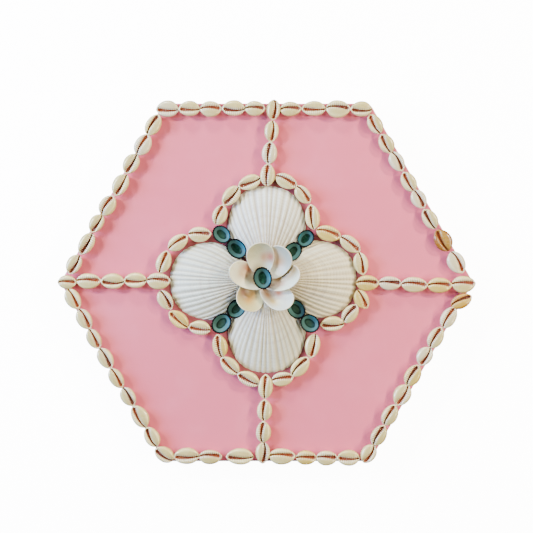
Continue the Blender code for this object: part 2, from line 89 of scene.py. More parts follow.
# Each cowrie: x and y of its middle, length, width, bearing of its wide end in degrees, and tint
COWRIES = {
    "border_top_left": (
        (-74.4, 130.0, 16.5, 12.4, 180, "white"),
        (-58.1, 129.7, 15.8, 11.6, 180, "ivory"),
        (-41.9, 129.5, 15.8, 12.0, 0, "ivory"),
        (-25.0, 130.0, 16.9, 11.9, 180, "ivory"),
        (-8.8, 130.2, 15.0, 11.3, 0, "ivory"),
    ),
    "border_top_right": (
        (17.9, 129.9, 15.8, 11.0, 2, "cream"),
        (35.1, 129.7, 17.6, 11.3, 180, "ivory"),
        (53.4, 129.3, 18.0, 13.3, -2, "ivory"),
        (70.4, 129.3, 15.8, 11.7, 180, "cream"),
    ),
    "border_upper_left": (
        (-84.6, 117.7, 17.2, 11.3, 60, "ivory"),
        (-92.7, 102.8, 17.2, 12.4, 61, "white"),
        (-101.7, 88.6, 16.1, 11.8, 240, "ivory"),
        (-109.3, 72.9, 17.6, 11.8, 242, "ivory"),
        (-118.8, 57.6, 16.5, 12.3, 59, "ivory"),
        (-127.1, 44.0, 15.0, 10.6, 238, "cream"),
        (-135.0, 29.1, 18.0, 11.0, 240, "ivory"),
        (-144.2, 13.5, 15.8, 11.0, 241, "ivory"),
    ),
    "spoke_left": (
        (-149.0, 0.6, 13.9, 10.3, 0, "ivory"),
        (-133.0, 1.1, 18.0, 11.6, 0, "ivory"),
        (-115.4, 1.3, 17.3, 11.8, 180, "ivory"),
        (-98.2, 1.8, 16.9, 11.6, 181, "ivory"),
        (-80.9, 0.9, 17.3, 12.4, -2, "ivory"),
    ),
    "border_lower_left": (
        (-144.7, -12.5, 16.9, 11.4, -60, "ivory"),
        (-136.5, -27.6, 16.5, 11.3, -61, "ivory"),
        (-128.9, -42.3, 16.1, 10.6, -62, "cream"),
        (-120.6, -56.9, 16.9, 11.3, -60, "ivory"),
        (-112.1, -71.5, 16.5, 10.5, -59, "cream"),
        (-103.8, -85.5, 15.4, 10.9, -59, "ivory"),
        (-94.4, -99.9, 18.4, 12.3, 121, "ivory"),
        (-85.7, -115.4, 16.1, 11.3, 119, "ivory"),
        (-76.6, -128.7, 15.7, 11.3, 149, "cream"),
    ),
    "border_bottom_left": (
        (-60.1, -129.2, 18.8, 12.5, 182, "ivory"),
        (-42.2, -130.4, 17.0, 10.9, 0, "cream"),
    ),
    "border_bottom_single": ((-20.3, -130.2, 19.9, 12.4, 180, "ivory"),),
    "border_bottom_right": (
        (11.6, -130.2, 19.5, 12.2, 0, "ivory"),
        (29.4, -130.6, 15.4, 11.0, 0, "yellow"),
        (44.8, -131.1, 15.8, 11.3, -1, "ivory"),
        (60.9, -131.4, 16.5, 12.0, 180, "cream"),
    ),
    "border_lower_right": (
        (145.4, -13.8, 16.6, 10.8, 25, "tan"),
        (135.6, -26.0, 17.6, 11.5, 60, "white"),
        (126.3, -41.1, 17.2, 11.5, 61, "ivory"),
        (118.1, -55.1, 15.0, 11.8, 240, "white"),
        (109.6, -69.5, 17.2, 11.8, 60, "yellow"),
        (101.1, -84.2, 16.9, 13.0, 240, "ivory"),
        (91.9, -98.8, 16.9, 11.7, 61, "ivory"),
        (83.6, -114.0, 16.5, 11.5, 62, "cream"),
        (75.8, -127.9, 15.0, 11.5, 240, "ivory"),
    ),
    "spoke_right": (
        (75.4, -0.2, 16.9, 11.9, 0, "yellow"),
        (92.2, -0.5, 16.9, 10.5, -2, "white"),
        (110.5, -1.5, 19.5, 11.6, -3, "ivory"),
        (129.3, -2.0, 18.0, 11.6, 0, "yellow"),
        (147.1, -1.7, 17.6, 12.8, 1, "cream"),
    ),
    "border_upper_right": (
        (81.0, 118.3, 16.1, 10.9, 120, "cream"),
        (89.5, 104.0, 15.4, 11.2, 119, "cream"),
        (97.3, 90.2, 16.1, 11.0, -60, "white"),
        (105.8, 75.3, 16.1, 11.2, 120, "ivory"),
        (113.5, 62.0, 15.0, 11.4, -60, "white"),
        (121.9, 47.4, 16.5, 11.0, 121, "ivory"),
        (131.9, 31.7, 17.6, 13.3, 120, "golden"),
        (141.5, 14.5, 17.6, 13.1, -60, "white"),
    ),
    "spoke_top": (
        (4.6, 128.7, 15.3, 10.3, 266, "cream"),
        (3.3, 112.9, 15.8, 10.7, 266, "ivory"),
        (1.9, 96.8, 16.5, 11.6, 86, "white"),
        (0.8, 80.4, 16.5, 11.3, 86, "ivory"),
    ),
    "spoke_bottom": (
        (-1.2, -77.7, 18.0, 11.0, 87, "ivory"),
        (-1.7, -95.3, 15.8, 11.3, 87, "ivory"),
        (-2.4, -111.5, 15.8, 11.3, 87, "ivory"),
        (-3.4, -127.4, 15.8, 10.8, 267, "ivory"),
    ),
    "ring_top_left": (
        (-35.0, 50.4, 15.4, 11.0, 70, "ivory"),
        (-26.9, 64.7, 17.6, 11.3, 230, "ivory"),
        (-13.1, 75.1, 17.2, 10.9, 201, "ivory"),
    ),
    "ring_top_right": (
        (14.8, 75.8, 17.3, 10.8, -26, "ivory"),
        (27.4, 65.6, 15.8, 10.6, -51, "ivory"),
        (34.4, 49.0, 18.4, 11.2, 97, "ivory"),
    ),
    "ring_right_upper": (
        (46.1, 36.5, 18.7, 11.6, -15, "yellow"),
        (62.3, 28.5, 17.8, 10.9, -37, "ivory"),
        (70.7, 14.2, 16.9, 11.1, -78, "ivory"),
    ),
    "ring_right_lower": (
        (70.9, -12.9, 15.2, 10.9, -62, "yellow"),
        (62.4, -23.2, 16.1, 10.9, 52, "ivory"),
        (48.9, -30.6, 17.4, 11.1, 184, "ivory"),
    ),
    "ring_bottom_right": (
        (34.4, -47.5, 18.1, 11.3, 259, "ivory"),
        (25.0, -63.0, 17.7, 11.4, 48, "ivory"),
        (11.8, -72.4, 16.1, 10.7, 9, "ivory"),
    ),
    "ring_bottom_left": (
        (-13.7, -71.5, 17.4, 10.8, 154, "ivory"),
        (-27.3, -62.0, 17.2, 10.9, 137, "ivory"),
        (-34.7, -47.2, 17.2, 11.3, 101, "yellow"),
    ),
    "ring_left_lower": (
        (-50.0, -33.7, 16.4, 10.8, 173, "ivory"),
        (-65.8, -27.6, 17.5, 11.1, 140, "yellow"),
        (-75.8, -13.2, 16.0, 10.8, -58, "ivory"),
    ),
    "ring_left_upper": (
        (-77.2, 15.4, 17.0, 11.0, 70, "ivory"),
        (-66.2, 29.7, 17.0, 11.0, 35, "ivory"),
        (-50.0, 36.1, 16.9, 11.5, 0, "ivory"),
    ),
}

# Each tint: the shell, its flat lip, and how strongly its teeth show
TINTS = {
    "ivory": ("#EDE3A0", "#BDAF76", 1.0),
    "cream": ("#E5D892", "#BBAE6E", 0.9),
    "yellow": ("#E5CD6C", "#BAA452", 0.8),
    "white": ("#EFE9C2", "#C9C096", 0.9),
    "golden": ("#8E5C0A", "#A88436", 0.1),
    "tan": ("#C28C1A", "#C0A448", 0.3),
}
SLIT_LIGHT = "#9C522F"
SLIT_DARK = "#6C3320"

# Scallop valves: sizes and walls, ribs, the margin, and the powers and skew of the dome's arches. The
# drift of the ribs and their weakness go in waves across the fan.
SCALLOP_LENGTH = 65.0
SCALLOP_WIDTH = 58.4
SCALLOP_HEIGHT = 13.0
SCALLOP_WALL = 1.6
SCALLOP_BEAK_WALL = 2.6
SCALLOP_RIBS = 20
RIB_HEIGHT = 1.0
RIB_POWER = 2.2
RIB_DRIFT = 0.18
RIB_DRIFT_WAVES = 4.3
RIB_WEAKNESS = 0.15
RIB_WEAK_WAVES = 6.7
STRIAE_A_RIB = 3
GROWTH_LINES = 170.0
GROWTH_BANDS = 58.0
MARGIN_WAVE = 0.35
MARGIN_SHOULDER = 0.025
COLUMNS_A_RIB = 8
SCALLOP_ROWS = 40
DOME_SIDE_POWER = 0.6
DOME_LONG_POWER = 0.72
DOME_SKEW = 0.62
SIDE_SWELL = 18.0

# Each scallop: bearing of its margin, its reach from the middle of the board, sideways place, colour of its
# ribs and of its grooves, the grooves darker partly by their own colour and partly as painted shade
SCALLOPS = {
    "scallop_top": (90, 72.1, 0.0, "#EAF0EA", "#98846C"),
    "scallop_left": (180, 72.4, -1.0, "#E0E8DB", "#98907C"),
    "scallop_bottom": (-90, 67.6, 0.0, "#E4E7D6", "#9D937A"),
    "scallop_right": (0, 67.0, 2.2, "#E7E3C9", "#C6B694"),
}

# Limpet cups: sizes, the power of the slope inside, the notches of the rim, the half-sizes of the dark
# middle as shares, and the gap under a cup and the steepness of the ceiling beside it
LIMPET_SIZE = 13.9
LIMPET_WALL = 0.9
LIMPET_FOOT = 4.2
LIMPET_HEIGHT = 4.6
LIMPET_SLOPE = 1.25
LIMPET_SIDES = 120
LIMPET_NOTCHES = 24
NOTCH_SHARE = 0.05
NOTCH_DROP = 0.18
LIMPET_CORE_LONG = 0.52
LIMPET_CORE_WIDE = 0.39
LIMPET_GAP = 0.3
LIMPET_FLANK = 40.0

# Each limpet: x, y, length and width of its mouth, bearing of its long axis and of the side of its band
# painted lighter as if lit, and how pale it is
LIMPETS = {
    "limpet_upper_left_outer": (-33.7, 35.9, 14.9, 12.1, 136, 0, 0.45),
    "limpet_upper_left_inner": (-22.6, 25.2, 17.0, 13.1, 136, 20, 0.0),
    "limpet_upper_right_outer": (29.0, 32.8, 14.0, 11.7, 47, 160, 0.0),
    "limpet_upper_right_inner": (19.3, 22.9, 15.8, 12.7, 50, 180, 0.4),
    "limpet_lower_right_inner": (21.9, -20.0, 15.9, 12.7, -49, 60, 0.9),
    "limpet_lower_right_outer": (32.1, -30.5, 15.1, 13.2, -36, 60, 0.9),
    "limpet_lower_left_inner": (-22.6, -19.6, 15.7, 12.9, -135, 0, 0.9),
    "limpet_lower_left_outer": (-33.9, -30.6, 16.4, 13.5, -132, 0, 1.0),
    "limpet_flower_centre": (-3.1, 3.3, 16.6, 13.7, 100, 0, 0.0),
}

# Petals: sizes, depth of the cup along and across, walls of the solid and of the fine piece, and the middle
# of the flower
PETAL_LENGTH = 28.8
PETAL_WIDTH = 21.5
PETAL_CUP_LONG = 4.6
PETAL_CUP_WIDE = 3.2
PETAL_WALL = 0.9
PETAL_THIN = 0.6
PETAL_TAPER = 0.16
PETAL_SIDES = 72
PETAL_RINGS = 22
PETAL_LINES = 55.0
FLOWER_X = -2.9
FLOWER_Y = 1.8

# Each petal: bearing of its tip, bearing and distance of its middle, length share, tilt, roll, and the
# share of its half-width on the clockwise and on the other side
PETALS = {
    "petal_lower_left": (-105, -130, 0.54, 0.94, 20, -12, 0.96, 1.0),
    "petal_lower_right": (-35, -54, 0.59, 1.01, 22, -20, 0.85, 1.0),
    "petal_right": (20, -3, 0.58, 1.08, 26, -28, 0.72, 1.0),
    "petal_upper_right": (63, 48, 0.66, 0.98, 28, -14, 0.90, 1.0),
    "petal_left": (148, 173, 0.51, 1.04, 22, 14, 1.0, 0.68),
    "petal_top": (94, 94, 0.59, 0.95, 22, 0, 0.90, 1.0),
}

# Colour of each petal, then its stains: place along and across as shares of the half-sizes, reach, colour.
# Some stains are painted shade, darker towards the middle of the flower and under rims, and some are painted
# light where a neighbour's shadow falls.
PETAL_COLOURS_AND_PAINTED_LIGHT = {
    "petal_lower_left": (
        "#CCC692",
        (0.20, 0.0, 0.35, "#C99C4A"),
        (-0.15, 0.20, 0.30, "#B89250"),
        (-0.10, -0.50, 0.50, "#84583C"),
        # Painted shade near the middle of the flower
        (-0.80, 0.10, 0.45, "#805A34"),
    ),
    "petal_lower_right": (
        "#D7E1D8",
        (0.0, -0.35, 0.32, "#D0BC7E"),
        # Painted shade along the left rim
        (-0.48, -0.22, 0.45, "#8A6640"),
        # Salmon stain, partly painted shade under the right petal's rim
        (-0.10, 0.42, 0.28, "#BE7A62"),
        # Painted shade near the middle of the flower
        (-0.90, 0.0, 0.40, "#8A6444"),
    ),
    "petal_right": (
        "#E8F2DE",
        (0.62, 0.50, 0.50, "#86671F"),
        (0.28, 0.36, 0.32, "#AE8A34"),
        # Painted light that lifts the crease under the upper right petal
        (0.45, 1.0, 0.34, "#FFF2D8"),
        (-0.30, 0.38, 0.36, "#A07848"),
        (-0.27, -0.15, 0.30, "#EACDC4"),
        # Painted shade near the middle of the flower
        (-0.75, -0.10, 0.42, "#5E3E22"),
    ),
    "petal_upper_right": (
        "#B4BFB2",
        (-0.10, 0.0, 0.42, "#D8A468"),
        # Painted light where the top petal's shadow falls
        (0.15, 0.60, 0.42, "#FFE6CC"),
        # Painted light where shadow falls near the middle of the flower
        (-0.85, -0.20, 0.60, "#FBFFFF"),
    ),
    "petal_left": (
        "#FAFDE4",
        (0.05, -0.65, 0.38, "#C27656"),
        (0.08, -0.20, 0.35, "#DAB68C"),
        # Painted shade next to the middle limpet
        (-0.55, -0.20, 0.42, "#A89470"),
    ),
    "petal_top": (
        "#CFD0AE",
        (0.0, -0.62, 0.36, "#B86A5A"),
        (0.0, -0.20, 0.30, "#BC9676"),
        (-0.60, -0.60, 0.35, "#C2DAD8"),
        # Painted shade near the middle of the flower
        (-0.80, 0.20, 0.40, "#9A8458"),
    ),
}

# Colours of the painted board and of the limpets
PAINT = "#E16C86"
PAINT_THIN = "#E57890"
PAINT_SCUFF = "#CD627A"
# Painted shade for the gaps round the scallops, and how strongly it covers the paint
PAINT_GAP_SHADE = "#6A3634"
GAP_SHADE_STRENGTH = 0.75
# Limpet bands: painted shade on one side, painted light on the other, and a painted glint
LIMPET_PAINTED_SHADE = "#3A5D5E"
LIMPET_PAINTED_LIGHT = "#376670"
LIMPET_PAINTED_GLINT = "#2C7A90"
LIMPET_PALE = "#5A8682"
LIMPET_MIDDLE = "#08281F"

# The view: straight down on the board from a little above its middle
PICTURE_SIDE_MM = 399.75
VIEW_X = -0.2
VIEW_Y = 11.9
VIEW_HEIGHT = 1200.0
SENSOR_MM = 36.0

# Lamps: bearing and elevation, distance and side in metres, power in watts, colour
LAMPS = {
    "left window": (170, 24, 1.3, 0.55, 46.0, "#ABC4FA"),
    "left lamp": (150, 36, 1.3, 0.16, 15.5, "#FFFBE5"),
    "top lamp": (104, 25, 1.3, 0.16, 13.0, "#FFFBE5"),
    "upper right lamp": (30, 35, 1.3, 0.07, 14.0, "#FFEAD2"),
    "right lamp": (4, 43, 1.3, 0.05, 9.0, "#FFEECA"),
    "lower right lamp": (-24, 43, 1.3, 0.04, 7.0, "#FFEEC4"),
}

# Strength and colour of the surround, and the floor's glow, half-side in metres and depth under the board
SURROUND = 0.17
SURROUND_COLOR = (0.80, 0.92, 1.0, 1.0)
FLOOR_GLOW = 12.0
FLOOR_HALF_SIDE = 6.0
FLOOR_DROP = 0.1

# Inputs by number: Map Range has its value at 0, from at 1 and 2, to at 3 and 4, and Mix has its share at 0
# and its colours at 6 and 7
SMOOTH = {"interpolation_type": "SMOOTHSTEP"}
COLORS = {"data_type": "RGBA"}
MIXED = 2


def hex_color(code):
    """Linear RGB of an sRGB hex value."""
    srgb = np.array([int(code[start : start + 2], 16) / 255 for start in (1, 3, 5)])
    return np.where(srgb <= 0.04045, srgb / 12.92, ((srgb + 0.055) / 1.055) ** 2.4)


def rgba(code):
    """Linear colour of a hex value with full alpha."""
    return (*hex_color(code), 1.0)


def add_node(tree, kind, inputs, output=0, **settings):
    """The chosen output of a new shader node, with its settings and its inputs set or linked."""
    node = tree.nodes.new("ShaderNode" + kind)
    for name, value in settings.items():
        setattr(node, name, value)
    for key, value in inputs.items():
        if isinstance(value, bpy.types.NodeSocket):
            tree.links.new(value, node.inputs[key])
        else:
            node.inputs[key].default_value = value
    return node.outputs[output]


def new_material(name):
    """A material, its node tree, its Principled shader and the piece's Object coordinates."""
    material = bpy.data.materials.new(name)
    material.use_nodes = True
    tree = material.node_tree
    return material, tree, tree.nodes["Principled BSDF"], add_node(tree, "TexCoord", {}, "Object")


def connect(tree, shader, color, roughness, height, bump_mm):
    """Links colour, roughness and a bump of that height into the Principled shader."""
    bump = add_node(tree, "Bump", {"Height": height, "Distance": bump_mm * MM, "Strength": 1.0})
    tree.links.new(color, shader.inputs["Base Color"])
    tree.links.new(roughness, shader.inputs["Roughness"])
    tree.links.new(bump, shader.inputs["Normal"])


def set_inputs(shader, values):
    """Plain values on the shader's own inputs."""
    for name, value in values.items():
        shader.inputs[name].default_value = value


# Materials


def painted_board_material():
    """Wood board rolled with satin pink paint: an even colour with faint scuffs and a fine roller grain.

    A dark red line round each scallop is painted shade in the gap between the scallop and its ring of
    cowries.
    """
    material, tree, shader, place = new_material("satin paint, rolled on wood")
    # Broad, faint patches where the coat is thinner
    patch = add_node(tree, "TexNoise", {"Vector": place, "Scale": 1 / (26 * MM), "Detail": 5.0})
    patch = add_node(tree, "MapRange", {0: patch, 1: 0.45, 2: 0.75, 4: 0.5}, **SMOOTH)
    color = add_node(tree, "Mix", {0: patch, 6: rgba(PAINT), 7: rgba(PAINT_THIN)}, MIXED, **COLORS)
    # Short scuffs along the board
    drawn = add_node(tree, "Mapping", {"Vector": place, "Scale": (1.0, 0.25, 1.0)})
    scuff = add_node(tree, "TexNoise", {"Vector": drawn, "Scale": 1 / (3.2 * MM), "Detail": 6.0})
    scuff = add_node(tree, "MapRange", {0: scuff, 1: 0.62, 2: 0.80, 4: 0.12}, **SMOOTH)
    color = add_node(tree, "Mix", {0: scuff, 6: color, 7: rgba(PAINT_SCUFF)}, MIXED, **COLORS)
    # Painted shade in the gap between each scallop and its ring of cowries: full at the margin, gone under
    # the cowries
    gap_shade = 0.0
    for values in SCALLOPS.values():
        bearing, reach, shift = values[:3]
        middle = turn(np.array([reach - SCALLOP_LENGTH / 2, shift, 0.0]), bearing, "Z") * MM
        inset = add_node(tree, "VectorMath", {0: place, 1: middle}, operation="SUBTRACT")
        turned = {"Vector": inset, "Angle": -radians(bearing)}
        inset = add_node(tree, "VectorRotate", turned, rotation_type="Z_AXIS")
        half = (2 / SCALLOP_LENGTH / MM, 2 / SCALLOP_WIDTH / MM, 0.0)
        inset = add_node(tree, "VectorMath", {0: inset, 1: half}, operation="MULTIPLY")
        inset = add_node(tree, "VectorMath", {0: inset}, 1, operation="LENGTH")
        inset = add_node(tree, "MapRange", {0: inset, 1: 1.26, 2: 1.10, 4: GAP_SHADE_STRENGTH}, **SMOOTH)
        gap_shade = add_node(tree, "Math", {0: gap_shade, 1: inset}, operation="MAXIMUM")
    color = add_node(tree, "Mix", {0: gap_shade, 6: color, 7: rgba(PAINT_GAP_SHADE)}, MIXED, **COLORS)
    # Roller grain of 0.7 mm, which only breaks up the sheen
    grain = add_node(tree, "TexNoise", {"Vector": place, "Scale": 1 / (0.7 * MM), "Detail": 3.0})
    gloss = add_node(tree, "TexNoise", {"Vector": place, "Scale": 1 / (12 * MM), "Detail": 4.0})
    gloss = add_node(tree, "MapRange", {0: gloss, 1: 0.3, 2: 0.7, 3: 0.45, 4: 0.58})
    connect(tree, shader, color, gloss, grain, 0.02)
    return material


def cowrie_material():
    """Natural cowrie shell, glossy as porcelain: a flat beige lip, a white toothed lip, a red-brown slit,
    with painted shade on its sides and down the middle of the slit.
    """
    material, tree, shader, place = new_material("cowrie shell, natural gloss")
    off, across, along, rim, teeth = (
        add_node(tree, "Attribute", {}, "Fac", attribute_name=name)
        for name in ("off", "across", "along", "rim", "teeth")
    )
    color, flat, mouth = (
        add_node(tree, "Attribute", {}, "Color", attribute_name=name) for name in ("tint", "flat", "mouth")
    )
    distance = add_node(tree, "Math", {0: across}, operation="ABSOLUTE")

    # The flat lip is dull beige inside a bright rim
    lip = add_node(tree, "MapRange", {0: off, 1: -0.7, 2: -1.5}, **SMOOTH)
    inner = add_node(tree, "MapRange", {0: rim, 1: -0.90, 2: -0.60, 4: 0.80}, **SMOOTH)
    lip = add_node(tree, "Math", {0: lip, 1: inner}, operation="MULTIPLY")
    color = add_node(tree, "Mix", {0: lip, 6: color, 7: flat}, MIXED, **COLORS)
    # Painted shade darkens the sides towards the outline; tawny blotches
    edge = add_node(tree, "Math", {0: rim}, operation="ABSOLUTE")
    side = add_node(tree, "MapRange", {0: edge, 1: 0.80, 2: 1.0, 4: 0.60}, **SMOOTH)
    shaded = {0: side, 6: color, 7: rgba("#C2AC9A")}
    color = add_node(tree, "Mix", shaded, MIXED, blend_type="MULTIPLY", **COLORS)
    mottle = add_node(tree, "TexNoise", {"Vector": place, "Scale": 1 / (2.6 * MM), "Detail": 4.0})
    tawny = add_node(tree, "MapRange", {0: mottle, 1: 0.45, 2: 0.70, 4: 0.20}, **SMOOTH)
    color = add_node(tree, "Mix", {0: tawny, 6: color, 7: rgba("#AE905F")}, MIXED, **COLORS)

    # Teeth: a wave along the shell, long on the rounded lip and short on the flat one
    wave = add_node(tree, "Math", {0: along, 1: COWRIE_TEETH * np.pi}, operation="MULTIPLY")
    wave = add_node(tree, "Math", {0: off, 1: 0.5, 2: wave}, operation="MULTIPLY_ADD")
    wave = add_node(tree, "Math", {0: wave}, operation="SINE")
    gap = add_node(tree, "MapRange", {0: wave, 1: -0.5, 2: 0.7}, **SMOOTH)
    short = add_node(tree, "Math", {0: off, 1: -1.7}, operation="MULTIPLY")
    reach = add_node(tree, "Math", {0: off, 1: short}, operation="MAXIMUM")
    near = add_node(tree, "MapRange", {0: reach, 1: 4.6, 2: 1.6}, **SMOOTH)
    near = add_node(tree, "Math", {0: near, 1: teeth}, operation="MULTIPLY")
    gap = add_node(tree, "Math", {0: gap, 1: near}, operation="MULTIPLY")
    ivory = add_node(tree, "Math", {0: near, 1: gap}, operation="SUBTRACT")
    ivory = add_node(tree, "Math", {0: ivory, 1: 0.75}, operation="MULTIPLY")
    color = add_node(tree, "Mix", {0: ivory, 6: color, 7: rgba("#F6F3E8")}, MIXED, **COLORS)
    cut = add_node(tree, "Math", {0: gap, 1: 0.55}, operation="MULTIPLY")
    color = add_node(tree, "Mix", {0: cut, 6: color, 7: rgba("#9C7C4E")}, MIXED, **COLORS)

    # The slit: stained edges that the teeth break up, then painted shade down its middle, where the hollow
    # of the shell lies in shadow
    bite = add_node(tree, "Math", {0: gap, 1: -0.5, 2: distance}, operation="MULTIPLY_ADD")
    stain = add_node(tree, "MapRange", {0: bite, 1: 1.15, 2: 0.70}, **SMOOTH)
    color = add_node(tree, "Mix", {0: stain, 6: color, 7: mouth}, MIXED, **COLORS)
    slit_shade = add_node(tree, "MapRange", {0: distance, 1: 0.70, 2: 0.10}, **SMOOTH)
    open_end = add_node(tree, "MapRange", {0: along, 1: 0.0, 2: 0.8, 3: 0.45, 4: 0.20}, **SMOOTH)
    slit_shade = add_node(tree, "Math", {0: slit_shade, 1: open_end}, operation="MULTIPLY")
    color = add_node(tree, "Mix", {0: slit_shade, 6: color, 7: rgba("#42190F")}, MIXED, **COLORS)

    height = add_node(tree, "Math", {0: 1.0, 1: gap}, operation="SUBTRACT")
    gloss = add_node(tree, "MapRange", {0: mottle, 1: 0.3, 2: 0.7, 3: 0.20, 4: 0.34})
    connect(tree, shader, color, gloss, height, 0.25)
    set_inputs(shader, {"Specular IOR Level": 0.8, "Subsurface Weight": 0.08})
    set_inputs(shader, {"Subsurface Radius": (1.0, 0.7, 0.45), "Subsurface Scale": MM})
    return material


def scallop_material():
    """Natural scallop valve, satin: white ribs, thin warm grooves darkened partly by their own colour and
    partly by painted shade, and faint growth lines across them.
    """
    material, tree, shader, place = new_material("scallop shell, natural satin")
    rib, fan, along = (
        add_node(tree, "Attribute", {}, "Fac", attribute_name=name) for name in ("rib", "fan", "along")
    )
    color, valley = (
        add_node(tree, "Attribute", {}, "Color", attribute_name=name) for name in ("crest", "valley")
    )
    # Grooves between the ribs: partly the shell's own colour, partly painted shade in the recesses
    groove = add_node(tree, "MapRange", {0: rib, 1: 0.6, 2: -1.0}, **SMOOTH)
    depth = add_node(tree, "MapRange", {0: along, 1: 1.0, 2: 0.5, 3: 0.50, 4: 0.80}, **SMOOTH)
    groove = add_node(tree, "Math", {0: groove, 1: depth}, operation="MULTIPLY")
    color = add_node(tree, "Mix", {0: groove, 6: color, 7: valley}, MIXED, **COLORS)
    # Fine striae between the ribs, stronger towards the beak
    stria = add_node(tree, "Math", {0: fan, 1: STRIAE_A_RIB * np.pi * 2}, operation="MULTIPLY")
    stria = add_node(tree, "Math", {0: stria}, operation="SINE")
    stria = add_node(tree, "MapRange", {0: stria, 1: 0.0, 2: 1.0}, **SMOOTH)
    nearer = add_node(tree, "MapRange", {0: along, 1: 0.95, 2: 0.35, 3: 0.12, 4: 0.50}, **SMOOTH)
    lines = add_node(tree, "Math", {0: stria, 1: nearer}, operation="MULTIPLY")
    color = add_node(tree, "Mix", {0: lines, 6: color, 7: valley}, MIXED, **COLORS)
    # The beak is worn to a fine brown speckle
    beak = add_node(tree, "MapRange", {0: along, 1: 0.60, 2: 0.22, 4: 0.80}, **SMOOTH)
    speckle = add_node(tree, "TexNoise", {"Vector": place, "Scale": 1 / (0.9 * MM), "Detail": 4.0})
    worn = add_node(tree, "MapRange", {0: speckle, 1: 0.40, 2: 0.64, 3: 0.25}, **SMOOTH)
    worn = add_node(tree, "Math", {0: beak, 1: worn}, operation="MULTIPLY")
    color = add_node(tree, "Mix", {0: worn, 6: color, 7: rgba("#A8957C")}, MIXED, **COLORS)
    # Growth lines, which wander by a slow noise
    drift = add_node(tree, "TexNoise", {"Vector": place, "Scale": 1 / (9 * MM), "Detail": 2.0})
    phase = add_node(tree, "Math", {0: along, 1: GROWTH_LINES}, operation="MULTIPLY")
    phase = add_node(tree, "Math", {0: drift, 1: 6.0, 2: phase}, operation="MULTIPLY_ADD")
    line = add_node(tree, "Math", {0: phase}, operation="SINE")
    line = add_node(tree, "MapRange", {0: line, 1: 0.35, 2: 1.0}, **SMOOTH)
    shade = add_node(tree, "Math", {0: line, 1: 0.10}, operation="MULTIPLY")
    color = add_node(tree, "Mix", {0: shade, 6: color, 7: rgba("#A99B8A")}, MIXED, **COLORS)
    # Broader growth bands towards the beak
    band = add_node(tree, "Math", {0: along, 1: GROWTH_BANDS}, operation="MULTIPLY")
    band = add_node(tree, "Math", {0: drift, 1: 3.0, 2: band}, operation="MULTIPLY_ADD")
    band = add_node(tree, "Math", {0: band}, operation="SINE")
    band = add_node(tree, "MapRange", {0: band, 1: -0.2, 2: 1.0}, **SMOOTH)
    older = add_node(tree, "MapRange", {0: along, 1: 0.85, 2: 0.60, 3: 0.04, 4: 0.30}, **SMOOTH)
    band = add_node(tree, "Math", {0: band, 1: older}, operation="MULTIPLY")
    color = add_node(tree, "Mix", {0: band, 6: color, 7: rgba("#B9AFA4")}, MIXED, **COLORS)
    # Broad uneven stains
    stain = add_node(tree, "TexNoise", {"Vector": place, "Scale": 1 / (15 * MM), "Detail": 2.0})
    stain = add_node(tree, "MapRange", {0: stain, 1: 0.50, 2: 0.74, 4: 0.25}, **SMOOTH)
    color = add_node(tree, "Mix", {0: stain, 6: color, 7: rgba("#CBBDA9")}, MIXED, **COLORS)

    height = add_node(tree, "Math", {0: speckle, 1: line}, operation="SUBTRACT")
    height = add_node(tree, "Math", {0: height, 1: lines}, operation="SUBTRACT")
    gloss = add_node(tree, "MapRange", {0: drift, 1: 0.3, 2: 0.7, 3: 0.40, 4: 0.56})
    connect(tree, shader, color, gloss, height, 0.10)
    return material


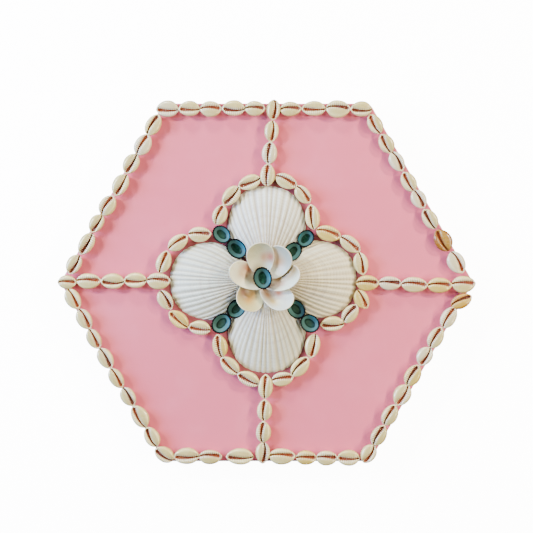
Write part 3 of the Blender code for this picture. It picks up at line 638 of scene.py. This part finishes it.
def limpet_material():
    """Limpet shell, glossy inside: a black notched rim, a grey-green band painted lighter on one side with a
    painted glint, and a dark oval middle.
    """
    material, tree, shader, place = new_material("limpet shell, nacre gloss")
    radius, core, ray, lit, outside, pale = (
        add_node(tree, "Attribute", {}, "Fac", attribute_name=name)
        for name in ("radius", "core", "ray", "lit", "outside", "pale")
    )

    cloud = add_node(tree, "TexNoise", {"Vector": place, "Scale": 1 / (2.4 * MM), "Detail": 3.0})
    wobble = add_node(tree, "MapRange", {0: cloud, 3: -0.12, 4: 0.12})
    spread = add_node(tree, "Math", {0: core, 1: wobble}, operation="ADD")
    # Painted light and shade: the band goes from a side painted dark as in shade to a blue-green side
    # painted as lit, with a painted glint towards the lit edge
    side = add_node(tree, "Math", {0: lit, 1: wobble}, operation="ADD")
    side = add_node(tree, "MapRange", {0: side, 1: 0.1, 2: 1.0}, **SMOOTH)
    color = add_node(tree, "Mix", {0: side, 6: rgba(LIMPET_PAINTED_SHADE), 7: rgba(LIMPET_PAINTED_LIGHT)}, MIXED, **COLORS)
    painted_glint = add_node(tree, "MapRange", {0: lit, 1: 0.60, 2: 0.82, 4: 0.8}, **SMOOTH)
    color = add_node(tree, "Mix", {0: painted_glint, 6: color, 7: rgba(LIMPET_PAINTED_GLINT)}, MIXED, **COLORS)
    faded = add_node(tree, "Math", {0: pale, 1: 0.35}, operation="MULTIPLY")
    color = add_node(tree, "Mix", {0: faded, 6: color, 7: rgba(LIMPET_PALE)}, MIXED, **COLORS)
    # The dark oval in the middle, clouded, paler inside on some, with a near-black line round it
    oval = add_node(tree, "MapRange", {0: spread, 1: 1.16, 2: 0.92}, **SMOOTH)
    clouded = add_node(tree, "MapRange", {0: cloud, 1: 0.40, 2: 0.65}, **SMOOTH)
    middle = {0: clouded, 6: rgba(LIMPET_MIDDLE), 7: rgba("#1B3F35")}
    middle = add_node(tree, "Mix", middle, MIXED, **COLORS)
    inner = add_node(tree, "MapRange", {0: spread, 1: 0.95, 2: 0.60, 4: 0.85}, **SMOOTH)
    inner = add_node(tree, "Math", {0: inner, 1: pale}, operation="MULTIPLY")
    middle = add_node(tree, "Mix", {0: inner, 6: middle, 7: rgba("#36524A")}, MIXED, **COLORS)
    color = add_node(tree, "Mix", {0: oval, 6: color, 7: middle}, MIXED, **COLORS)
    ring = add_node(tree, "Math", {0: spread, 1: 1.04}, operation="SUBTRACT")
    ring = add_node(tree, "Math", {0: ring}, operation="ABSOLUTE")
    ring = add_node(tree, "MapRange", {0: ring, 1: 0.15, 2: 0.03, 4: 0.75}, **SMOOTH)
    color = add_node(tree, "Mix", {0: ring, 6: color, 7: rgba("#04100D")}, MIXED, **COLORS)
    # Rays run in from the notches
    streak = add_node(tree, "Math", {0: ray}, operation="SINE")
    streak = add_node(tree, "MapRange", {0: streak, 1: 0.0, 2: 1.0}, **SMOOTH)
    edge = add_node(tree, "MapRange", {0: radius, 1: 0.72, 2: 0.92, 4: 0.5}, **SMOOTH)
    rays = add_node(tree, "Math", {0: streak, 1: edge}, operation="MULTIPLY")
    color = add_node(tree, "Mix", {0: rays, 6: color, 7: rgba("#1C3F43")}, MIXED, **COLORS)
    rim = add_node(tree, "MapRange", {0: radius, 1: 0.83, 2: 0.88}, **SMOOTH)
    color = add_node(tree, "Mix", {0: rim, 6: color, 7: rgba("#060608")}, MIXED, **COLORS)
    back = add_node(tree, "Mix", {0: streak, 6: rgba("#5C5548"), 7: rgba("#26231F")}, MIXED, **COLORS)
    color = add_node(tree, "Mix", {0: outside, 6: color, 7: back}, MIXED, **COLORS)

    gloss = add_node(tree, "MapRange", {0: radius, 1: 0.45, 2: 0.70, 3: 0.70, 4: 0.42}, **SMOOTH)
    gloss = add_node(tree, "Math", {0: outside, 1: 0.3, 2: gloss}, operation="MULTIPLY_ADD")
    connect(tree, shader, color, gloss, cloud, 0.03)
    set_inputs(shader, {"Specular IOR Level": 0.04, "Coat Weight": 0.03, "Coat Roughness": 0.03})
    return material


def petal_material():
    """Thin clam valves, polished inside: stained colours under a soft gloss, with faint growth lines."""
    material, tree, shader, place = new_material("clam valve, natural gloss")
    color = add_node(tree, "Attribute", {}, "Color", attribute_name="tint")
    radius = add_node(tree, "Attribute", {}, "Fac", attribute_name="radius")
    cloud = add_node(tree, "TexNoise", {"Vector": place, "Scale": 1 / (3 * MM), "Detail": 4.0})
    tawny = add_node(tree, "MapRange", {0: cloud, 1: 0.45, 2: 0.70, 4: 0.12}, **SMOOTH)
    color = add_node(tree, "Mix", {0: tawny, 6: color, 7: rgba("#B0946F")}, MIXED, **COLORS)
    phase = add_node(tree, "Math", {0: radius, 1: PETAL_LINES}, operation="MULTIPLY")
    phase = add_node(tree, "Math", {0: cloud, 1: 5.0, 2: phase}, operation="MULTIPLY_ADD")
    line = add_node(tree, "Math", {0: phase}, operation="SINE")
    shade = add_node(tree, "MapRange", {0: line, 1: 0.4, 2: 1.0, 4: 0.06}, **SMOOTH)
    color = add_node(tree, "Mix", {0: shade, 6: color, 7: rgba("#94795A")}, MIXED, **COLORS)
    rim = add_node(tree, "MapRange", {0: radius, 1: 0.955, 2: 0.985, 4: 0.6}, **SMOOTH)
    color = add_node(tree, "Mix", {0: rim, 6: color, 7: rgba("#F4EDD4")}, MIXED, **COLORS)
    gloss = add_node(tree, "MapRange", {0: cloud, 1: 0.3, 2: 0.7, 3: 0.26, 4: 0.40})
    connect(tree, shader, color, gloss, line, 0.015)
    set_inputs(shader, {"Subsurface Weight": 0.12, "Subsurface Radius": (1.0, 0.6, 0.4)})
    set_inputs(shader, {"Subsurface Scale": MM})
    return material


def floor_material():
    """Matt white paper, lit like a light table: plain and pale."""
    material, _, shader, _ = new_material("matt paper, white")
    set_inputs(shader, {"Base Color": rgba("#FAFAFA"), "Roughness": 0.9})
    set_inputs(shader, {"Emission Color": rgba("#FFFFFF"), "Emission Strength": FLOOR_GLOW})
    return material


# Meshes


def grid_faces(rows, columns, first=0):
    """Quads of a grid of rows by columns points whose columns close into a ring."""
    near = np.arange(rows - 1)[:, None] * columns
    column = np.arange(columns)[None, :]
    after = (column + 1) % columns
    far = near + columns
    corners = np.stack([near + column, far + column, far + after, near + after], axis=-1)
    return (first + corners).reshape(-1, 4).tolist()


def pole_faces(pole, ring, turned):
    """Triangles from one pole point to a closed ring of points."""
    after = np.roll(ring, -1)
    pair = (after, ring) if turned else (ring, after)
    return np.stack([np.full(len(ring), pole), *pair], axis=-1).tolist()


def make_piece(name, points, faces, material, node, fields, sharp=180):
    """A smooth mesh in place, with its attributes, that rides on the tray and stands for its CAD node."""
    mesh = bpy.data.meshes.new(name)
    mesh.from_pydata((points * MM).tolist(), [], faces)
    mesh.shade_smooth()
    if sharp < 180:
        mesh.set_sharp_from_angle(angle=radians(sharp))
    for key, values in fields.items():
        if values.ndim == 1:
            mesh.attributes.new(key, "FLOAT", "POINT").data.foreach_set("value", values.astype(np.float32))
        else:
            full = np.hstack([values, np.ones((len(values), 1))]).astype(np.float32)
            mesh.attributes.new(key, "FLOAT_COLOR", "POINT").data.foreach_set("color", full.ravel())
    mesh.materials.append(material)
    piece = bpy.data.objects.new(name, mesh)
    bpy.context.scene.collection.objects.link(piece)
    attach(piece, "root")
    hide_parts(node)
    return piece


def turn(points, degrees, axis):
    """Points turned about the X, Y or Z axis through the origin."""
    angle = radians(degrees)
    first, second = ((1, 2), (2, 0), (0, 1))["XYZ".index(axis)]
    result = points.copy()
    result[..., first] = np.cos(angle) * points[..., first] - np.sin(angle) * points[..., second]
    result[..., second] = np.sin(angle) * points[..., first] + np.cos(angle) * points[..., second]
    return result


def cowrie_grid(length, width, bow, lean):
    """One cowrie lying along X, mouth up, wide end of its slit towards +X.

    u runs from tip to tip and g from side to side, both from -1 to 1. Half-width: (1 - |u|^p)^r by the
    outline's power and root, a little fuller towards -u and wider on the -Y side by the lean. Above the
    widest line each section is an arch (1 - |g|^p)^0.5, rounder on the rounded lip than on the flat one,
    which dips inside its rim; below it a round back. The lips sink to the slit in a bell-shaped valley,
    and the slit is a narrower bell in it that bows to +Y between the tips, most in the narrow half, and
    ends short of the wide tip in a rim.
    """
    # Columns over the top, closest together at the slit and at the rims, then those of the back
    half_top = np.array([0, 0.03, 0.06, 0.1, 0.15, 0.21, 0.29, 0.38, 0.49, 0.6, 0.7, 0.8, 0.88, 0.94, 0.98])
    top = np.concatenate([[-1.0], -half_top[:0:-1], half_top, [1.0]])
    low = np.array([0.93, 0.75, 0.5, 0.25, 0.0, -0.25, -0.5, -0.75, -0.93])
    share = np.concatenate([top, low])[None, :]
    upper = (np.arange(share.size) < top.size)[None, :]
    u = np.sin(np.pi / 2 * np.linspace(-1, 1, COWRIE_ROWS + 2)[1:-1])[:, None]

    swell = (1 - np.abs(u) ** OUTLINE_POWER) ** OUTLINE_ROOT * (1 - OUTLINE_SKEW * u)
    half_width = width * swell * np.where(share > 0, 0.5 - lean, 0.5 + lean)
    shut = np.clip(np.where(u > 0, (SLIT_WIDE_END - u) / 0.14, (SLIT_NARROW_END + u) / 0.08), 0.0, 1.0)
    opening = np.clip((u - SLIT_OPENS_AT) / SLIT_OPENS_OVER, 0, 1)
    slit = SLIT_NARROW + (SLIT_WIDE - SLIT_NARROW) * opening
    slit = slit * (0.02 + 0.98 * np.sqrt(shut))
    mouth = width * bow * (1 - np.abs(u) ** OUTLINE_POWER) * (1 - 0.45 * u)
    y = half_width * share + np.where(upper, mouth * (1 - share**2), 0.0)
    off = y - mouth
    bulge = (1 - np.abs(u) ** BULGE_POWER) ** BULGE_ROOT
    power = np.where(share < 0, FLAT_LIP_POWER, ROUND_LIP_POWER)
    arch = (1 - np.abs(share) ** power) ** 0.5
    widest = COWRIE_WAIST_Z + (COWRIE_TIP_Z - COWRIE_WAIST_Z) * u**2
    crown = widest + (COWRIE_CROWN_Z - widest) * bulge * arch
    dip = LIP_DIP * bulge * np.exp(-(((share + 0.50) / 0.20) ** 2))
    valley = SLIT_VALLEY * bulge * np.exp(-((off / VALLEY_REACH) ** 2))
    groove = SLIT_DEPTH * np.exp(-((off / slit) ** 2) * 0.8) * shut
    back = widest * (1 - bulge * (1 - share**2) ** 0.5)
    z = np.where(upper, crown - dip - valley - groove, back)
    x = u * length / 2 + 0 * share
    points = np.stack([x, y + width * lean, z], axis=-1).reshape(-1, 3)
    tips = [[-length / 2, width * lean, COWRIE_TIP_Z], [length / 2, width * lean, COWRIE_TIP_Z]]
    fields = {
        "off": np.append(np.where(upper, off, 9.0), [9.0, 9.0]),
        "across": np.append(np.where(upper, off / slit, 9.0), [9.0, 9.0]),
        "along": np.append(u + 0 * share, [-1.0, 1.0]),
        "rim": np.append(np.where(upper, share + 0 * u, 1.0), [1.0, 1.0]),
    }
    return np.vstack([points, tips]), fields, share.size


def make_cowries(material):
    """The strands: one mesh for the shells of each, each shell at its own place, turn and tint."""
    chance = np.random.default_rng(12)
    for node, shells in COWRIES.items():
        parts, faces, all_fields = [], [], []
        first = 0
        for x, y, length, width, bearing, tone in shells:
            bow, lean = chance.uniform(*SLIT_BOW), chance.uniform(*COWRIE_LEAN)
            points, fields, columns = cowrie_grid(length * COWRIE_STRETCH, width, bow, lean)
            points = turn(points, chance.uniform(-COWRIE_ROLL, COWRIE_ROLL), "X")
            points = turn(points, chance.uniform(-COWRIE_PITCH, COWRIE_PITCH), "Y")
            points = turn(points, bearing, "Z")
            points += (x, y, SEAT - points[:, 2].min())
            count = len(points)
            faces += grid_faces(COWRIE_ROWS, columns, first)
            faces += pole_faces(first + count - 2, first + np.arange(columns), False)
            last_ring = first + (COWRIE_ROWS - 1) * columns + np.arange(columns)
            faces += pole_faces(first + count - 1, last_ring, True)
            depth = chance.uniform(0, 1) ** 1.5
            slit_color = hex_color(SLIT_LIGHT) * (1 - depth) + hex_color(SLIT_DARK) * depth
            body, flat, teeth = TINTS[tone]
            fields["tint"] = np.tile(hex_color(body) * chance.uniform(0.95, 1.05), (count, 1))
            fields["flat"] = np.tile(hex_color(flat), (count, 1))
            fields["mouth"] = np.tile(slit_color, (count, 1))
            fields["teeth"] = np.full(count, teeth * chance.uniform(0.35, 1.0))
            parts.append(points)
            all_fields.append(fields)
            first += count
        joined = {key: np.concatenate([fields[key] for fields in all_fields]) for key in all_fields[0]}
        make_piece(node + "_shells", np.vstack(parts), faces, material, node, joined)


def scallop_surface(length, width, height, rib, wave):
    """Fan-shaped dome, beak at the origin and margin towards +X, as points, rib phase and share.

    The margin is the far half of an ellipse, pushed out by MARGIN_SHOULDER times sin(pi side)^2, most
    halfway to each side. The sides are turned out by SIDE_SWELL degrees times the
    squared nearness to the side and 1 - share^2. The height is a skew arch from beak to margin times a
    flatter arch from side to side; each rib is 1 - 2 |cos|^RIB_POWER of its own phase, strong and weak in
    turn by a slow wave, and the ribs end at the two side edges.
    """
    half_l, half_w = length / 2, width / 2
    spread = np.arctan2(half_w, half_l)
    step = np.linspace(0, 1, SCALLOP_RIBS * COLUMNS_A_RIB + 1)[None, :]
    side = 2 * step - 1
    angle = spread * side
    share = np.linspace(0.012, 1.0, SCALLOP_ROWS)[:, None]
    drift = RIB_DRIFT * np.sin(2 * np.pi * RIB_DRIFT_WAVES * step) * np.sin(np.pi * step)
    phase = SCALLOP_RIBS * step + drift
    strength = 1 - RIB_WEAKNESS + RIB_WEAKNESS * np.sin(2 * np.pi * RIB_WEAK_WAVES * step + 1.0)
    ridge = 1 - 2 * np.abs(np.cos(np.pi * phase)) ** RIB_POWER * strength
    reach = 2 * np.cos(angle) / half_l / ((np.sin(angle) / half_w) ** 2 + (np.cos(angle) / half_l) ** 2)
    reach = reach * (1 + MARGIN_SHOULDER * np.sin(np.pi * side) ** 2)
    reach = reach + wave / 2 * ridge * share
    side_arch = np.abs(np.cos(np.pi / 2 * side)) ** DOME_SIDE_POWER
    long_arch = np.abs(np.sin(np.pi * share**DOME_SKEW)) ** DOME_LONG_POWER
    edge = 1 - np.abs(side) ** 24
    rise = height * side_arch * long_arch + rib / 2 * ridge * edge * np.sqrt(share) * long_arch**0.3
    rise = np.maximum(rise, 0.0)
    fanned = angle + radians(SIDE_SWELL) * side * np.abs(side) * (1 - share**2)
    points = np.stack([share * reach * np.cos(fanned), share * reach * np.sin(fanned), rise], axis=-1)
    return points, ridge + 0 * share, share + 0 * step, phase + 0 * share


def below_limpets(points, wall):
    """Points pressed under the cups that rest on a scallop's sides, and clear of the flanks of their rims.

    The ceiling rises from the foot of each cup to its rim in a straight line, then by LIMPET_FLANK.
    """
    for node, values in LIMPETS.items():
        x, y, length, width, bearing = values[:5]
        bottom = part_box(node)[0][2] / MM
        local = turn(points - (x, y, bottom), -bearing, "Z")
        share = np.hypot(local[:, 0] / (length / 2), local[:, 1] / (width / 2))
        foot = LIMPET_FOOT / LIMPET_SIZE
        cup = LIMPET_HEIGHT * np.clip((share - foot) / (1 - foot), 0, 1) - LIMPET_GAP - wall
        ceiling = bottom + cup + LIMPET_FLANK * np.maximum(share - 1, 0)
        points[:, 2] = np.minimum(points[:, 2], np.maximum(ceiling, SEAT))
    return points


def make_scallop(node, bearing, reach, shift, crest, valley, material):
    """A ribbed valve: the outer dome, turned under at its margin into a smooth inner one."""
    size = (SCALLOP_LENGTH, SCALLOP_WIDTH, SCALLOP_HEIGHT)
    outer, rib, share, fan = scallop_surface(*size, RIB_HEIGHT, MARGIN_WAVE)
    inner = scallop_surface(
        SCALLOP_LENGTH - SCALLOP_BEAK_WALL - SCALLOP_WALL,
        SCALLOP_WIDTH - 2 * SCALLOP_WALL,
        SCALLOP_HEIGHT - SCALLOP_WALL,
        0.0,
        0.0,
    )[0]
    inner[..., 0] += SCALLOP_BEAK_WALL
    rows, columns = rib.shape
    points = np.vstack([outer.reshape(-1, 3), inner.reshape(-1, 3)])

    row = np.arange(rows - 1)[:, None]
    column = np.arange(columns - 1)[None, :]
    near = row * columns + column
    top = np.stack([near, near + columns, near + columns + 1, near + 1], axis=-1).reshape(-1, 4)
    under = (rows * columns + top)[:, ::-1]
    base = rows * columns
    edge = np.arange(columns - 1)
    last = (rows - 1) * columns + edge
    margin = np.stack([last, base + last, base + last + 1, last + 1], axis=-1)
    beak = np.stack([edge, edge + 1, base + edge + 1, base + edge], axis=-1)
    side = np.arange(rows - 1) * columns
    right = np.stack([side, base + side, base + side + columns, side + columns], axis=-1)
    far = side + columns - 1
    left = np.stack([far, far + columns, base + far + columns, base + far], axis=-1)
    faces = np.vstack([top, under, margin, beak, right, left]).tolist()

    points = turn(points, bearing, "Z")
    angle = radians(bearing)
    beak_x = (reach - SCALLOP_LENGTH) * np.cos(angle) - shift * np.sin(angle)
    beak_y = (reach - SCALLOP_LENGTH) * np.sin(angle) + shift * np.cos(angle)
    points += (beak_x, beak_y, SEAT)
    half = rib.size
    points = np.vstack([below_limpets(points[:half], 0.0), below_limpets(points[half:], SCALLOP_WALL)])
    count = len(points)
    fields = {
        "rib": np.concatenate([rib.ravel(), np.ones(rib.size)]),
        "fan": np.concatenate([fan.ravel(), fan.ravel()]),
        "along": np.concatenate([share.ravel(), share.ravel()]),
        "crest": np.tile(hex_color(crest), (count, 1)),
        "valley": np.tile(hex_color(valley), (count, 1)),
    }
    make_piece(node + "_valve", points, faces, material, node, fields, sharp=50)


def make_limpet(node, x, y, length, width, bearing, lit_from, pale, material):
    """A low cup turned from its profile and drawn to an oval, its rim notched by |sin| of its bearing."""
    scale = np.sqrt(length * width) / LIMPET_SIZE
    foot = LIMPET_FOOT / 2
    rim = LIMPET_SIZE / 2
    inside = np.linspace(0.08, 1, 14)
    inner_r = inside * (rim - LIMPET_WALL)
    slope = np.clip((inner_r - foot) / (rim - foot), 0, 1) ** LIMPET_SLOPE
    inner_z = LIMPET_WALL + (LIMPET_HEIGHT - LIMPET_WALL) * slope
    lip_r = np.array([rim - LIMPET_WALL * 0.5, rim, rim - 0.1])
    lip_z = np.array([LIMPET_HEIGHT, LIMPET_HEIGHT - 0.1, LIMPET_HEIGHT - 0.5])
    outer_r = np.array([rim * 0.8, rim * 0.6, foot * 1.05, foot * 0.5])
    outer_z = LIMPET_HEIGHT * np.clip((outer_r - foot) / (rim - foot), 0, 1)
    radius = np.concatenate([inner_r, lip_r, outer_r])[:, None]
    height = np.concatenate([inner_z, lip_z, outer_z])[:, None]
    angle = (np.arange(LIMPET_SIDES) * 2 * np.pi / LIMPET_SIDES)[None, :]
    notch = np.abs(np.sin(angle * LIMPET_NOTCHES / 2))
    grow = 1 + NOTCH_SHARE * (notch - 0.5) * (radius / rim) ** 8
    px = radius * grow * np.cos(angle) * length / LIMPET_SIZE
    py = radius * grow * np.sin(angle) * width / LIMPET_SIZE
    pz = (height - NOTCH_DROP * (1 - notch) * (radius / rim) ** 6) * scale + 0 * angle
    points = np.stack([px, py, pz], axis=-1).reshape(-1, 3)
    poles = np.array([[0, 0, LIMPET_WALL * scale], [0, 0, 0]])
    points = turn(np.vstack([points, poles]), bearing, "Z")
    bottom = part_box(node)[0][2] / MM
    points += (x, y, bottom - points[:, 2].min())

    rows = radius.shape[0]
    count = rows * LIMPET_SIDES
    faces = grid_faces(rows, LIMPET_SIDES)
    faces += pole_faces(count, np.arange(LIMPET_SIDES), False)
    faces += pole_faces(count + 1, (rows - 1) * LIMPET_SIDES + np.arange(LIMPET_SIDES), True)
    outside = np.repeat(np.arange(rows) > inside.size + 1, LIMPET_SIDES)
    share = radius / rim
    core = share * np.hypot(np.cos(angle) / LIMPET_CORE_LONG, np.sin(angle) / LIMPET_CORE_WIDE)
    lit = share * np.cos(angle - radians(lit_from - bearing))
    fields = {
        "radius": np.append(share + 0 * angle, [0.0, 0.0]),
        "core": np.append(core, [0.0, 0.0]),
        "ray": np.append(angle * LIMPET_NOTCHES + 0 * share, [0.0, 0.0]),
        "lit": np.append(lit, [0.0, 0.0]),
        "outside": np.append(outside.astype(float), [0.0, 1.0]),
        "pale": np.full(len(points), pale),
    }
    make_piece(node + "_cup", points, faces, material, node, fields)


def make_petal(node, tip, middle, distance, length, tilt, roll, clockwise, other, material):
    """A spoon: an egg-shaped disc whose dish deepens with the square of each half-width."""
    angle = (np.arange(PETAL_SIDES) * 2 * np.pi / PETAL_SIDES)[None, :]
    share = (np.arange(1, PETAL_RINGS + 1) / PETAL_RINGS)[:, None]
    along = share * np.cos(angle)
    across = share * np.sin(angle)
    across = across * np.where(across < 0, clockwise, other)
    px = along * length * PETAL_LENGTH / 2
    py = across * (1 + PETAL_TAPER * along) * PETAL_WIDTH / 2
    pz = PETAL_CUP_LONG * along**2 + PETAL_CUP_WIDE * across**2
    points = np.stack([px, py, pz], axis=-1).reshape(-1, 3)
    points = np.vstack([points, [[0, 0, 0]]])
    points = turn(turn(turn(points, roll, "X"), -tilt, "Y"), tip, "Z")
    centre = radians(middle)
    points[:, 0] += FLOWER_X + distance * PETAL_LENGTH * np.cos(centre)
    points[:, 1] += FLOWER_Y + distance * PETAL_LENGTH * np.sin(centre)
    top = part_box(node)[1][2] / MM
    points[:, 2] += top - points[:, 2].max() - PETAL_WALL / 2

    base, *stains_and_painted_light = PETAL_COLOURS_AND_PAINTED_LIGHT[node]
    tint = np.tile(hex_color(base), (along.size, 1))
    # Mix in the table's stains, among them painted light and painted shade
    for place_x, place_y, size, code in stains_and_painted_light:
        gap = ((along - place_x) ** 2 + (across - place_y) ** 2).reshape(-1, 1)
        cover = np.exp(-gap / size**2)
        tint = tint * (1 - cover) + hex_color(code) * cover
    count = along.size
    faces = grid_faces(PETAL_RINGS, PETAL_SIDES)
    faces += pole_faces(count, np.arange(PETAL_SIDES), False)
    fields = {
        "tint": np.vstack([tint, tint[:1]]),
        "radius": np.append(share + 0 * angle, [0.0]),
    }
    piece = make_piece(node + "_valve", points, faces, material, node, fields)
    wall = piece.modifiers.new("wall", "SOLIDIFY")
    wall.thickness = PETAL_THIN * MM
    wall.offset = 1.0


# Stage


def add_light(name, bearing, elevation, distance, size, power, code):
    """A soft square lamp aimed at the tray from a bearing and an elevation."""
    lamp = bpy.data.lights.new(name, "AREA")
    lamp.shape = "SQUARE"
    lamp.size = size
    lamp.energy = power
    lamp.color = hex_color(code)
    item = bpy.data.objects.new(name, lamp)
    bpy.context.scene.collection.objects.link(item)
    turned, raised = radians(bearing), radians(elevation)
    out = distance * np.cos(raised)
    place = (out * np.cos(turned), out * np.sin(turned), distance * np.sin(raised))
    item.location = place
    item.rotation_euler = Vector(place).to_track_quat("Z", "Y").to_euler()


def make_floor():
    """A plain pale floor under the tray, whose glow is seen but doesn't light the shells from below."""
    side, z = FLOOR_HALF_SIDE, -FLOOR_DROP * MM
    points = [(-side, -side, z), (side, -side, z), (side, side, z), (-side, side, z)]
    mesh = bpy.data.meshes.new("floor")
    mesh.from_pydata(points, [], [(0, 1, 2, 3)])
    mesh.materials.append(floor_material())
    floor = bpy.data.objects.new("floor", mesh)
    bpy.context.scene.collection.objects.link(floor)
    floor.visible_diffuse = False
    floor.visible_glossy = False


def make_camera():
    """Straight down, as long a lens as frames PICTURE_SIDE_MM of the board's face."""
    data = bpy.data.cameras.new("camera")
    data.sensor_width = SENSOR_MM
    data.lens = SENSOR_MM * VIEW_HEIGHT / PICTURE_SIDE_MM
    camera = bpy.data.objects.new("camera", data)
    bpy.context.scene.collection.objects.link(camera)
    camera.location = (VIEW_X * MM, VIEW_Y * MM, (BOARD_TOP + VIEW_HEIGHT) * MM)
    bpy.context.scene.camera = camera


def make_studio():
    """Soft lamps at the left, the top and the right of the picture, and a pale surround."""
    for name, values in LAMPS.items():
        add_light(name, *values)
    world = bpy.data.worlds.new("studio")
    world.use_nodes = True
    background = world.node_tree.nodes["Background"]
    set_inputs(background, {"Color": SURROUND_COLOR, "Strength": SURROUND})
    bpy.context.scene.world = world


def main():
    """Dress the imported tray."""
    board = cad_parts["board"]
    board.data.materials.clear()
    board.data.materials.append(painted_board_material())
    make_cowries(cowrie_material())
    scallop = scallop_material()
    for node, values in SCALLOPS.items():
        make_scallop(node, *values, scallop)
    limpet = limpet_material()
    for node, values in LIMPETS.items():
        make_limpet(node, *values, limpet)
    petal = petal_material()
    for node, values in PETALS.items():
        make_petal(node, *values, petal)
    make_floor()
    make_camera()
    make_studio()


main()
bpy.context.view_layer.update()
